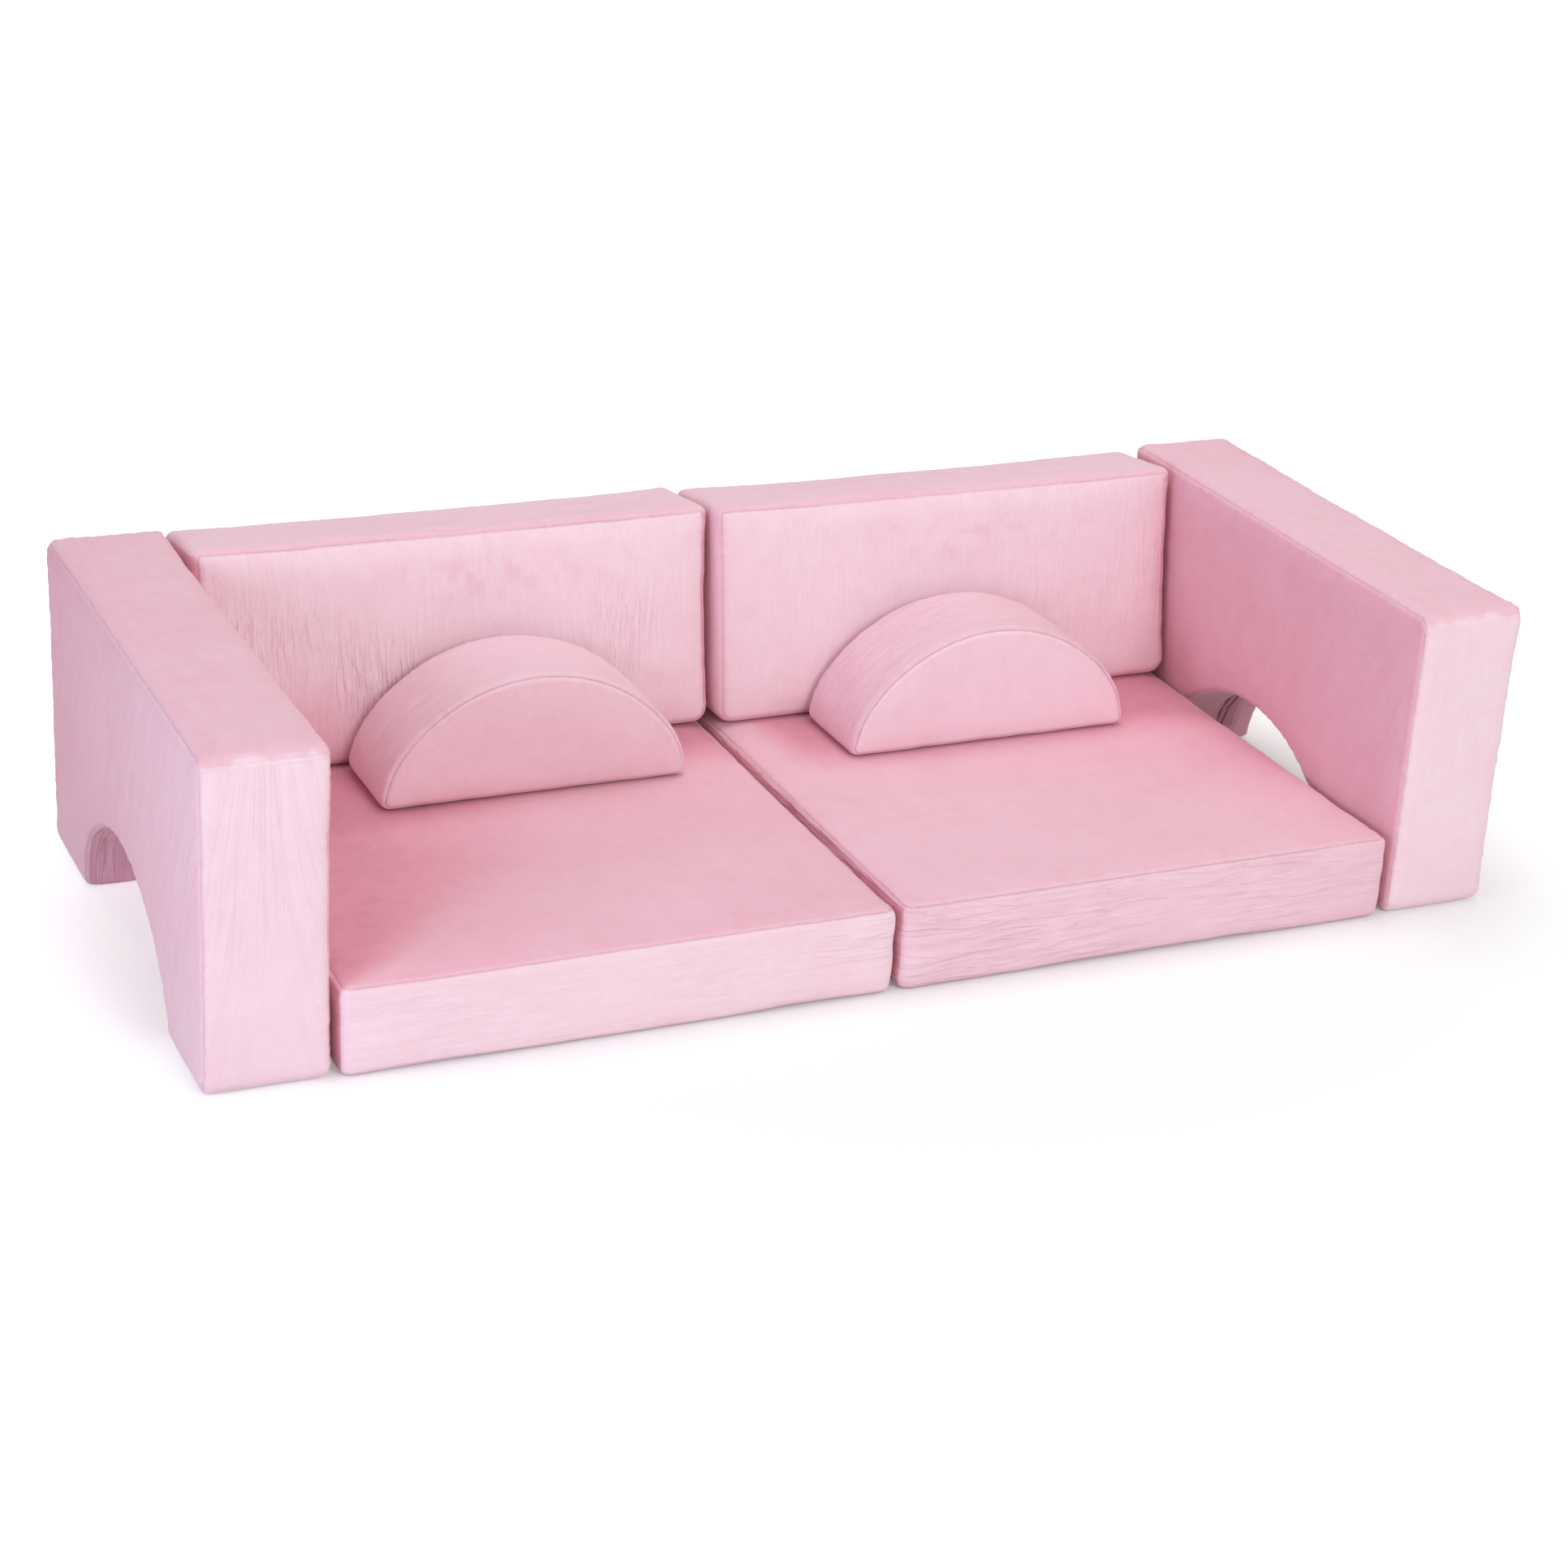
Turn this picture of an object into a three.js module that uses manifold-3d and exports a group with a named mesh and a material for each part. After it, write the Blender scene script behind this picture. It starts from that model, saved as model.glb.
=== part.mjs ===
// A modular foam play sofa in millimetres: +X to the right of the front view, -Y the front, +Z up.
// Two arched arms stand at the ends of two seat mats. Two raked backs and two half-rounds stand on
// the mats. Every module is a foam core in a padded velvet cover, closed by a base panel and a zip.

import * as THREE from 'three';
import { mergeVertices } from 'three/addons/utils/BufferGeometryUtils.js';
import Module from 'manifold-3d';

const wasm = await Module();
wasm.setup();

// The mats and the arms are equally deep and the mats and the backs equally wide, so that the
// row stays flush.
const module_depth = 750;
const module_width = 705;

// Seat mats
const mat_height = 120;
const mat_corner_radius = 16;
const mat_edge_radius = 12;
const mat_crown = 4;
const mat_side_draw = 3;

// Arms
const arm_thickness = 155;
const arm_height = 420;
const arm_corner_radius = 16;
const arm_edge_radius = 11;
const arm_crown = 3;
const arm_side_draw = 2;
const arch_width = 420;
const arch_height = 155;
const arch_haunch_radius = 120;
const arch_edge_radius = 8;

// Raked backs
const back_height = 302;
const back_thickness = 155;
const back_rake = THREE.MathUtils.degToRad(7.5);
const back_corner_radius = 26;
const back_edge_radius = 14;
const back_crown = 8;
const back_side_draw = 4;

// Half-rounds
const half_round_width = 420;
const half_round_height = 168;
const half_round_depth = 153;
const half_round_haunch_radius = 126;
const half_round_corner_radius = 14;
const half_round_edge_radius = 11;
const half_round_crown = 4;

// Where the modules stand
const side_gap = 8;
const stack_gap = 0.3;
const left_back_setback = 1;
const right_back_setback = 14;
const nestle_gap = 1.5;
const left_half_round_inset = 188;
const right_half_round_inset = 128;

// Covers, cores and base panels
const cover_wall = 5;
const core_gap = 0.4;
const base_panel_thickness = 4.6;
const seam_gap = 0.3;
const core_edge_radius = 5;
const cavity_inset = cover_wall - core_gap;
const cover_seam_height = base_panel_thickness + seam_gap;

// Zips
const tape_width = 24;
const tape_thickness = 1.2;
const tape_seat_depth = 2.2;
const tape_margin = 1;
const tape_clearance = 0.3;
const coil_width = 5;
const coil_height = 2;
const slider_length = 18;
const slider_width = 11;
const slider_cap = 1.6;
const slider_clearance = 0.5;
const slider_loop_height = 1.8;
const slider_loop_width = 3;
const slider_loop_bar = 0.9;
const slider_nose_share = 0.55;
const slider_loop_length_share = 0.5;
const zip_end_margin = 6;
const mat_zip_length = 560;
const back_zip_length = 560;
const back_zip_height = 46;
const half_round_zip_length = 300;
const half_round_zip_height = 46;
const arm_zip_foot_height = 30;
const arm_zip_offset = 22;
const arm_zip_end_angle = THREE.MathUtils.degToRad(4);

// Cuts run this far past the faces that they cross.
const overrun = 20;

// How finely the round shapes are stepped, and where the rings of a crowned face lie.
const fine = { corner: 3, side: 3, haunch: 4, crown: 8, edge: 2, cap_shares: [0.88, 0.66] };
const plain = { corner: 2, side: 3, haunch: 3, crown: 6, edge: 1, cap_shares: [0.7] };
const zip_track = { haunch: 3, crown: 28 };
const crown_power = 8;

const quarter = Math.PI / 2;
const velvet = new THREE.MeshStandardMaterial({ color: 0xdfa9b6, roughness: 0.85, metalness: 0 });
const base_fabric = new THREE.MeshStandardMaterial({ color: 0xcf9aa8, roughness: 0.9, metalness: 0 });
const foam = new THREE.MeshStandardMaterial({ color: 0xf1ead8, roughness: 0.95, metalness: 0 });
const tape_fabric = new THREE.MeshStandardMaterial({ color: 0xd898a8, roughness: 0.7, metalness: 0 });
const slider_metal = new THREE.MeshStandardMaterial({ color: 0xd9c6ca, roughness: 0.4, metalness: 0.8 });

// Solids and meshes

function solid_of(positions, triangles) {
  let volume = 0;
  for (const [a, b, c] of triangles) {
    const p = new THREE.Vector3(...positions[a]);
    const q = new THREE.Vector3(...positions[b]);
    const r = new THREE.Vector3(...positions[c]);
    volume += p.dot(q.cross(r));
  }
  const ordered = volume < 0 ? triangles.map(([a, b, c]) => [a, c, b]) : triangles;
  return new wasm.Manifold(new wasm.Mesh({
    numProp: 3,
    vertProperties: new Float32Array(positions.flat()),
    triVerts: new Uint32Array(ordered.flat()),
  }));
}

function solid_of_geometry(geometry) {
  geometry.deleteAttribute('normal');
  geometry.deleteAttribute('uv');
  const merged = mergeVertices(geometry);
  return new wasm.Manifold(new wasm.Mesh({
    numProp: 3,
    vertProperties: new Float32Array(merged.attributes.position.array),
    triVerts: new Uint32Array(merged.index.array),
  }));
}

function box(low, high) {
  const size = high.map((value, axis) => value - low[axis]);
  const geometry = new THREE.BoxGeometry(...size);
  geometry.translate(...low.map((value, axis) => value + size[axis] / 2));
  return solid_of_geometry(geometry);
}

const as_is = (point) => point;

// The corners of a solid, each moved by a reshaping function, and its triangles.
function reshaped(solid, reshape) {
  const { vertProperties, triVerts } = solid.getMesh();
  const in_threes = (values) => Array.from({ length: values.length / 3 },
    (_, i) => Array.from(values.subarray(i * 3, i * 3 + 3)));
  return { positions: in_threes(vertProperties).map(reshape), triangles: in_threes(triVerts) };
}

function mesh_of(name, solid, material, reshape = as_is) {
  const { positions, triangles } = reshaped(solid, reshape);
  const geometry = new THREE.BufferGeometry();
  geometry.setAttribute('position', new THREE.Float32BufferAttribute(positions.flat(), 3));
  geometry.setIndex(triangles.flat());
  geometry.computeVertexNormals();
  const mesh = new THREE.Mesh(geometry, material);
  mesh.name = name;
  return mesh;
}

// A closed solid from rings of equal count, with a fan at each end.
function solid_of_rings(rings, low_centre, high_centre) {
  const count = rings[0].length;
  const positions = [low_centre, ...rings.flat(), high_centre];
  const last = positions.length - 1;
  const top = last - count;
  const triangles = [];
  for (let i = 0; i < count; i += 1) {
    const j = (i + 1) % count;
    triangles.push([0, 1 + j, 1 + i], [last, top + i, top + j]);
    for (let ring = 0; ring + 1 < rings.length; ring += 1) {
      const a = 1 + ring * count;
      const b = a + count;
      triangles.push([a + i, a + j, b + j], [a + i, b + j, b + i]);
    }
  }
  return solid_of(positions, triangles);
}

function arc_points(centre, radius, from, to, steps) {
  const points = [];
  for (let i = 0; i <= steps; i += 1) {
    const angle = from + ((to - from) * i) / steps;
    points.push([centre[0] + radius * Math.cos(angle), centre[1] + radius * Math.sin(angle)]);
  }
  return points;
}

// Points between two others, drawn in to the left of the way from one to the next.
function drawn_side(from, to, steps, draw) {
  const length = Math.hypot(to[0] - from[0], to[1] - from[1]);
  const inward = [(from[1] - to[1]) / length, (to[0] - from[0]) / length];
  const points = [];
  for (let i = 1; i <= steps; i += 1) {
    const t = i / (steps + 1);
    const pull = draw * (1 - (2 * t - 1) ** 2);
    points.push([0, 1].map((k) => from[k] + (to[k] - from[k]) * t + inward[k] * pull));
  }
  return points;
}

// A rectangle on the line v = 0, with round corners. The base side may stay straight.
function rectangle_outline(width, height, corner, base_draw_share) {
  const centres = [
    [width / 2 - corner, corner],
    [width / 2 - corner, height - corner],
    [corner - width / 2, height - corner],
    [corner - width / 2, corner],
  ];
  const at = (grow, draw, detail) => {
    const radius = Math.max(corner + grow, core_gap);
    const arcs = centres.map((centre, k) => {
      const moved = centre.map((value, axis) => {
        const outward = Math.sign(value - (axis === 1 ? height / 2 : 0));
        return value + outward * (corner + grow - radius);
      });
      return arc_points(moved, radius, (k - 1) * quarter, k * quarter, detail.corner);
    });
    return arcs.flatMap((arc, k) => {
      const share = k === arcs.length - 1 ? base_draw_share : 1;
      const next = arcs[(k + 1) % arcs.length][0];
      return [...arc, ...drawn_side(arc[arc.length - 1], next, detail.side, draw * share)];
    });
  };
  return { at, centre: [0, height / 2] };
}

// A three-centred arch: two haunch arcs and one wide crown arc, all tangent.
function arch_arcs(width, height, haunch) {
  const half = width / 2;
  const crown = (half * half + height * height - 2 * half * haunch) / (2 * (height - haunch));
  const half_angle = Math.atan2(half - haunch, crown - height);
  return { half, haunch, crown, half_angle, crown_centre_height: height - crown };
}

function arch_points(arcs, grow, detail, first_angle) {
  const turn = quarter - arcs.half_angle;
  const inner = arcs.half - arcs.haunch;
  const haunch = arcs.haunch + grow;
  const crown = arcs.crown + grow;
  const right = arc_points([inner, 0], haunch, first_angle, turn, detail.haunch);
  const middle = arc_points([0, arcs.crown_centre_height], crown, turn, Math.PI - turn, detail.crown);
  const left = arc_points([-inner, 0], haunch, Math.PI - turn, Math.PI - first_angle, detail.haunch);
  return [...right, ...middle.slice(1), ...left.slice(1)];
}

function half_round_outline() {
  const arcs = arch_arcs(half_round_width, half_round_height, half_round_haunch_radius);
  const corner = half_round_corner_radius;
  const lift_off = 2 * Math.asin(corner / half_round_haunch_radius);
  const at = (grow, draw, detail) => {
    const radius = Math.max(corner + grow, core_gap);
    const shift = corner + grow - radius;
    const right_centre = [arcs.half - corner + shift, corner - shift];
    const right = arc_points(right_centre, radius, -quarter, 0, detail.corner);
    const left = right.map(([u, v]) => [-u, v]).reverse();
    const arch = arch_points(arcs, grow, detail, lift_off);
    const base = drawn_side(left[left.length - 1], right[0], detail.side, 0);
    return [...right, ...arch, ...left, ...base];
  };
  return { at, centre: [0, half_round_height / 2] };
}

// A padded block: an outline drawn through a thickness, with round edges and crowned ends.
function padded_solid(outline, form, inset, detail, to_xyz) {
  const edge = Math.max(form.edge - inset, core_edge_radius);
  const ring = (share, grow, draw, w) => outline.at(grow, draw, detail).map(([u, v]) => {
    const [cu, cv] = outline.centre;
    return to_xyz(cu + (u - cu) * share, cv + (v - cv) * share, w);
  });
  const end = (crown) => {
    const rings = detail.cap_shares.map((share) => [share, -inset - edge, form.draw,
      inset + crown * share ** crown_power]);
    rings.reverse();
    for (let i = 0; i <= detail.edge; i += 1) {
      const angle = (quarter * i) / detail.edge;
      const grow = -inset - edge * (1 - Math.sin(angle));
      rings.push([1, grow, form.draw, inset + crown + edge * (1 - Math.cos(angle))]);
    }
    return crown > 0 ? rings : rings.slice(detail.cap_shares.length);
  };
  const low = end(form.low_crown);
  const high = end(form.high_crown).reverse();
  const rings = [
    ...low.map(([share, grow, draw, w]) => ring(share, grow, draw, w)),
    ring(1, -inset, 0, form.thickness / 2),
    ...high.map(([share, grow, draw, w]) => ring(share, grow, draw, form.thickness - w)),
  ];
  const low_centre = to_xyz(...outline.centre, inset);
  const high_centre = to_xyz(...outline.centre, form.thickness - inset);
  return solid_of_rings(rings, low_centre, high_centre);
}

// The tunnel under an arm, drawn along X. Its mouths flare by the arch's edge radius.
function tunnel_solid(grow, edge_radius, detail) {
  const arcs = arch_arcs(arch_width, arch_height, arch_haunch_radius);
  const stations = [[-overrun, edge_radius]];
  for (let i = 0; i <= detail.edge; i += 1) {
    const angle = (quarter * i) / detail.edge;
    stations.push([edge_radius * (1 - Math.cos(angle)), edge_radius * (1 - Math.sin(angle))]);
  }
  const far = stations.map(([x, flare]) => [arm_thickness - x, flare]).reverse();
  const rings = [...stations, ...far].map(([x, flare]) => {
    const arch = arch_points(arcs, grow + flare, detail, 0);
    const half = arcs.half + grow + flare;
    return [[half, -overrun], ...arch, [-half, -overrun]].map(([u, v]) => [x, u + module_depth / 2, v]);
  });
  const middle = [module_depth / 2, arch_height / 2];
  return solid_of_rings(rings, [-overrun, ...middle], [arm_thickness + overrun, ...middle]);
}

// Below the seam lies the base panel, above it the cover.
function slab(from, to, reach) {
  return box([-reach, -reach, from], [reach, reach, to]);
}

function cover_and_base(form_solid, cavity_solid, reach) {
  const base = form_solid.intersect(slab(-overrun, base_panel_thickness, reach));
  const above = form_solid.subtract(slab(-overrun, cover_seam_height, reach));
  return { base, cover: above.subtract(cavity_solid) };
}

// Zips: a tape with its coil, seated in the cover, and a slider with no pull tab.

const tape_face = tape_seat_depth - tape_clearance - tape_thickness;
const coil_top = coil_height - tape_face;

function straight_tape(face_y, middle_z, length) {
  const tape_top = face_y - tape_face;
  const half = length / 2;
  const tape = box(
    [-half, tape_top - tape_thickness, middle_z - tape_width / 2],
    [half, tape_top, middle_z + tape_width / 2],
  );
  const coil = box(
    [-half, tape_top - tape_thickness / 2, middle_z - coil_width / 2],
    [half, face_y + coil_top, middle_z + coil_width / 2],
  );
  return tape.add(coil);
}

function straight_seat(face_y, middle_z, length) {
  const half_length = length / 2 + tape_margin;
  const half_width = tape_width / 2 + tape_margin;
  return box(
    [-half_length, face_y - tape_seat_depth, middle_z - half_width],
    [half_length, face_y + overrun, middle_z + half_width],
  );
}

// The slider in its own frame: X along the zip, Y away from the face that it runs on.
function slider_solid() {
  const roof = coil_top + slider_clearance;
  const foot = slider_clearance - tape_face;
  const half = slider_length / 2;
  const nose = half * slider_nose_share;
  const side = new THREE.Shape();
  side.moveTo(-half, foot);
  side.lineTo(half, foot);
  side.lineTo(half, roof);
  side.lineTo(nose, roof + slider_cap);
  side.lineTo(-nose, roof + slider_cap);
  side.lineTo(-half, roof);
  const body = extruded_across(side, slider_width);
  const loop_half = half * slider_loop_length_share;
  const loop = new THREE.Shape();
  loop.moveTo(-loop_half, roof + slider_cap / 2);
  loop.lineTo(loop_half, roof + slider_cap / 2);
  loop.lineTo(loop_half, roof + slider_cap + slider_loop_height);
  loop.lineTo(-loop_half, roof + slider_cap + slider_loop_height);
  const eye = new THREE.Path();
  const eye_half = loop_half - slider_loop_bar;
  eye.moveTo(-eye_half, roof + slider_cap);
  eye.lineTo(-eye_half, roof + slider_cap + slider_loop_height - slider_loop_bar);
  eye.lineTo(eye_half, roof + slider_cap + slider_loop_height - slider_loop_bar);
  eye.lineTo(eye_half, roof + slider_cap);
  loop.holes.push(eye);
  const slot_half = coil_width / 2 + slider_clearance;
  const slot = box([-slider_length, foot - overrun, -slot_half], [slider_length, roof, slot_half]);
  return body.add(extruded_across(loop, slider_loop_width)).subtract(slot);
}

function extruded_across(shape, width) {
  const geometry = new THREE.ExtrudeGeometry(shape, { depth: width, bevelEnabled: false });
  geometry.translate(0, 0, -width / 2);
  return solid_of_geometry(geometry);
}

// Modules

function straight_zip_module(name, outline, form, to_xyz, zip, reshape = as_is) {
  const reach = module_width + module_depth;
  const outer = padded_solid(outline, form, 0, fine, to_xyz);
  const cavity = padded_solid(outline, form, cavity_inset, plain, to_xyz);
  const core = padded_solid(outline, form, cover_wall, plain, to_xyz);
  const { base, cover } = cover_and_base(outer, cavity, reach);
  const seated = cover.subtract(straight_seat(zip.face_y, zip.height, zip.length));
  const tape = straight_tape(zip.face_y, zip.height, zip.length);
  const slider = mesh_of(`${name}_zip_slider`, slider_solid(), slider_metal);
  const closed_end = zip.length / 2 - zip_end_margin - slider_length / 2;
  const place = new THREE.Vector3(-closed_end, zip.face_y, zip.height);
  slider.position.set(...reshape(place.toArray()));
  slider.rotation.x = zip.tilt;
  const group = new THREE.Group();
  group.add(
    mesh_of(`${name}_foam_core`, core, foam, reshape),
    mesh_of(`${name}_cover`, seated, velvet, reshape),
    mesh_of(`${name}_base_panel`, base, base_fabric, reshape),
    mesh_of(`${name}_zip_tape`, tape, tape_fabric, reshape),
    slider,
  );
  return group;
}

function seat_mat(name) {
  const form = {
    thickness: mat_height,
    edge: mat_edge_radius,
    low_crown: 0,
    high_crown: mat_crown,
    draw: mat_side_draw,
  };
  const outline = rectangle_outline(module_width, module_depth, mat_corner_radius, 1);
  const zip = { face_y: module_depth, height: mat_height / 2, length: mat_zip_length, tilt: 0 };
  return straight_zip_module(name, outline, form, (u, v, w) => [u, v, w], zip);
}

// The back leans on a level base, and its top slopes down to the rear.
const rake_slope = Math.tan(back_rake);

function raked([x, y, z]) {
  return [x, y + z * rake_slope, z - (z / back_height) * y * rake_slope];
}

function raked_back(name) {
  const form = {
    thickness: back_thickness,
    edge: back_edge_radius,
    low_crown: back_crown,
    high_crown: 0,
    draw: back_side_draw,
  };
  const outline = rectangle_outline(module_width, back_height, back_corner_radius, 0);
  const tilt = -Math.atan2(rake_slope, 1 - (back_thickness / back_height) * rake_slope);
  const zip = {
    face_y: back_thickness,
    height: back_zip_height,
    length: back_zip_length,
    tilt,
  };
  return straight_zip_module(name, outline, form, (u, v, w) => [u, w, v], zip, raked);
}

function half_round(name) {
  const form = {
    thickness: half_round_depth,
    edge: half_round_edge_radius,
    low_crown: half_round_crown,
    high_crown: 0,
    draw: 0,
  };
  const zip = {
    face_y: half_round_depth,
    height: half_round_zip_height,
    length: half_round_zip_length,
    tilt: 0,
  };
  return straight_zip_module(name, half_round_outline(), form, (u, v, w) => [u, w, v], zip);
}

// A band that follows the arch between two depths into the soffit, across part of the thickness.
function soffit_band(outer_grow, inner_grow, width, foot_height) {
  const arcs = arch_arcs(arch_width, arch_height, arch_haunch_radius);
  const profile = (grow) => {
    const shape = new THREE.Shape();
    const points = arch_points(arcs, grow, zip_track, 0);
    shape.moveTo(points[0][0], -overrun);
    points.forEach(([u, v]) => shape.lineTo(u, v));
    shape.lineTo(points[points.length - 1][0], -overrun);
    return extruded_across(shape, width);
  };
  const reach = arch_width + arch_height;
  const below = box([-reach, -reach, -width], [reach, foot_height, width]);
  return profile(outer_grow).subtract(profile(inner_grow)).subtract(below);
}

// Both arms are the same module, so their zips lie to the same side of the middle.
const arm_zip_x = arm_thickness / 2 + arm_zip_offset;

function arm_soffit([u, v, w]) {
  return [arm_zip_x + w, module_depth / 2 + u, v];
}

function arm(name) {
  const form = {
    thickness: arm_thickness,
    edge: arm_edge_radius,
    low_crown: arm_crown,
    high_crown: arm_crown,
    draw: arm_side_draw,
  };
  const reach = module_depth + arm_height;
  const outline = rectangle_outline(module_depth, arm_height, arm_corner_radius, 0);
  const to_xyz = (u, v, w) => [w, u + module_depth / 2, v];
  const outer = padded_solid(outline, form, 0, fine, to_xyz)
    .subtract(tunnel_solid(0, arch_edge_radius, fine));
  const cavity = padded_solid(outline, form, cavity_inset, plain, to_xyz)
    .subtract(tunnel_solid(cavity_inset, 0, fine));
  const core = padded_solid(outline, form, cover_wall, plain, to_xyz)
    .subtract(tunnel_solid(cover_wall, 0, fine));
  const { base, cover } = cover_and_base(outer, cavity, reach);
  const middle = module_depth / 2;
  const front_half = box([-reach, -reach, -reach], [reach, middle, reach]);

  const seat_width = tape_width + 2 * tape_margin;
  const seat_band = soffit_band(tape_seat_depth, -overrun, seat_width, cover_seam_height);
  const seat = reshaped(seat_band, arm_soffit);
  const seated = cover.subtract(solid_of(seat.positions, seat.triangles));
  const tape_band = soffit_band(tape_face + tape_thickness, tape_face, tape_width, arm_zip_foot_height);
  const coil_band = soffit_band(tape_face + tape_thickness / 2, -coil_top, coil_width, arm_zip_foot_height);
  const tape = tape_band.add(coil_band);

  const arcs = arch_arcs(arch_width, arch_height, arch_haunch_radius);
  const slider = mesh_of(`${name}_zip_slider`, slider_solid(), slider_metal);
  const closed_angle = arcs.half_angle - arm_zip_end_angle;
  const slider_y = middle + arcs.crown * Math.sin(closed_angle);
  const slider_z = arcs.crown_centre_height + arcs.crown * Math.cos(closed_angle);
  slider.position.set(arm_zip_x, slider_y, slider_z);
  const along = new THREE.Vector3(0, Math.cos(closed_angle), -Math.sin(closed_angle));
  const away = new THREE.Vector3(0, -Math.sin(closed_angle), -Math.cos(closed_angle));
  const across = new THREE.Vector3().crossVectors(along, away);
  slider.quaternion.setFromRotationMatrix(new THREE.Matrix4().makeBasis(along, away, across));

  const group = new THREE.Group();
  group.add(
    mesh_of(`${name}_foam_core`, core, foam),
    mesh_of(`${name}_cover`, seated, velvet),
    mesh_of(`${name}_front_foot_panel`, base.intersect(front_half), base_fabric),
    mesh_of(`${name}_rear_foot_panel`, base.subtract(front_half), base_fabric),
    mesh_of(`${name}_zip_tape`, tape, tape_fabric, arm_soffit),
    slider,
  );
  return group;
}

// The row as it stands, from the left arm to the right one

const sofa = new THREE.Group();

function stand(group, x, y, z) {
  group.position.set(x, y, z);
  sofa.add(group);
}

const mat_offset = (module_width + side_gap) / 2;
const arm_offset = side_gap / 2 + module_width + side_gap;
stand(seat_mat('left_seat'), -mat_offset, 0, 0);
stand(seat_mat('right_seat'), mat_offset, 0, 0);
stand(arm('left_arm'), -arm_offset - arm_thickness, 0, 0);
stand(arm('right_arm'), arm_offset, 0, 0);

const on_mat = mat_height + stack_gap;
const left_back_front = module_depth - left_back_setback - back_thickness;
const right_back_front = module_depth - right_back_setback - back_thickness;
stand(raked_back('left_back'), -mat_offset, left_back_front, on_mat);
stand(raked_back('right_back'), mat_offset, right_back_front, on_mat);

const half_round_reach = half_round_depth + nestle_gap;
const left_half_round_x = -mat_offset - module_width / 2 + left_half_round_inset + half_round_width / 2;
const right_half_round_x = mat_offset - module_width / 2 + right_half_round_inset + half_round_width / 2;
stand(half_round('left_half_round'), left_half_round_x, left_back_front - half_round_reach, on_mat);
stand(half_round('right_half_round'), right_half_round_x, right_back_front - half_round_reach, on_mat);

// The origin is the middle of the footprint of the whole row.
sofa.updateMatrixWorld(true);
const extent = new THREE.Box3().setFromObject(sofa);
const footprint_centre = extent.getCenter(new THREE.Vector3());
sofa.position.set(-footprint_centre.x, -footprint_centre.y, -extent.min.z);
sofa.updateMatrixWorld(true);

export default sofa;
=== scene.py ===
"""A modular foam play sofa in pink velvet: each block's cover is simulated as cloth over its foam."""
import math
import time

import bmesh
import bpy
import numpy as np
from mathutils import Matrix, Vector


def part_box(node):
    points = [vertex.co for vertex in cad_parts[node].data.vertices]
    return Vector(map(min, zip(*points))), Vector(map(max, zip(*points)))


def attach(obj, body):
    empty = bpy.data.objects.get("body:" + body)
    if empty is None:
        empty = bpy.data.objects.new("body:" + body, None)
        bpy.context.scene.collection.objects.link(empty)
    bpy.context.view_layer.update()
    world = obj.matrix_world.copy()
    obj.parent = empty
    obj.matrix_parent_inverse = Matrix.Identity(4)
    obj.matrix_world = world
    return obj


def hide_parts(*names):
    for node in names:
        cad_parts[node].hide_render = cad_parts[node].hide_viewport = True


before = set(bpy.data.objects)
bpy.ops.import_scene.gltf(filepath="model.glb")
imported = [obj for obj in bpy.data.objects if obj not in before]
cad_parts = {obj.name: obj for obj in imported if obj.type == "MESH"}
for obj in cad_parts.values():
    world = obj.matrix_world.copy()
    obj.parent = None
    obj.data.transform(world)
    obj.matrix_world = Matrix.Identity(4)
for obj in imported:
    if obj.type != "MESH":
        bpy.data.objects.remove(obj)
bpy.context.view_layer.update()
scene = bpy.context.scene
started = time.time()

# Camera

CAMERA_PLACE = (-1.67291, -3.54990, 1.82738)
CAMERA_RIGHT = (0.911707, -0.407017, 0.055917)
CAMERA_UP = (0.116275, 0.386169, 0.915070)
CAMERA_FORWARD = (0.394043, 0.827775, -0.399399)
CAMERA_LENS = 74.53
SENSOR_WIDTH = 36

camera_data = bpy.data.cameras.new("camera")
camera_data.sensor_width = SENSOR_WIDTH
camera_data.lens = CAMERA_LENS
camera = bpy.data.objects.new("camera", camera_data)
scene.collection.objects.link(camera)
turn = Matrix((CAMERA_RIGHT, CAMERA_UP, [-x for x in CAMERA_FORWARD])).transposed()
camera.matrix_world = Matrix.Translation(CAMERA_PLACE) @ turn.to_4x4()
scene.camera = camera

# Sizes in metres, as in the CAD, with a few corners and crowns nearer to the photo's

MM = .001
SEAT = dict(width=.705, height=.750, thickness=.120, corner=.016, edge=.012,
            near_crown=0, far_crown=.004, draw=.003)
ARM = dict(width=.750, height=.420, thickness=.155, corner=.020, edge=.011,
           near_crown=.003, far_crown=.003, draw=.002)
BACK = dict(width=.705, height=.302, thickness=.155, corner=.022, top_corner=.013, edge=.013,
            near_crown=.007, far_crown=.001, draw=.004)
HALF_ROUND = dict(width=.420, height=.168, thickness=.153, corner=.014, edge=.011,
                  near_crown=.004, far_crown=.001, draw=0)
HALF_ROUND_HAUNCH = .126
ARCH_WIDTH, ARCH_HEIGHT, ARCH_HAUNCH = .420, .155, .120
ARCH_EDGE = .008
ARM_FOOT = .004
RAKE = math.tan(math.radians(7.5))
BACK_FRONT = {"left": .20054, "right": .18754}

CORNER_STEPS, FOOT_STEPS, HAUNCH_STEPS, CROWN_STEPS = 6, 3, 12, 26
QUARTER = math.pi / 2

# How far each cover may leave the CAD's surface, and how it starts inside it, in metres

DEEPEST, PROUDEST = -.0034, .0022
START_INSET = .0015
INSET_NOISE = .0004
OFF_FLOOR = .0002

# A face's crown and a band's hollow fade away from its edge within these lengths

CROWN_REACH, DRAW_REACH = .03, .05

# The dip over a zip: its depth, its reach past the tape's sides and through the cover, and its slope

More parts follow.
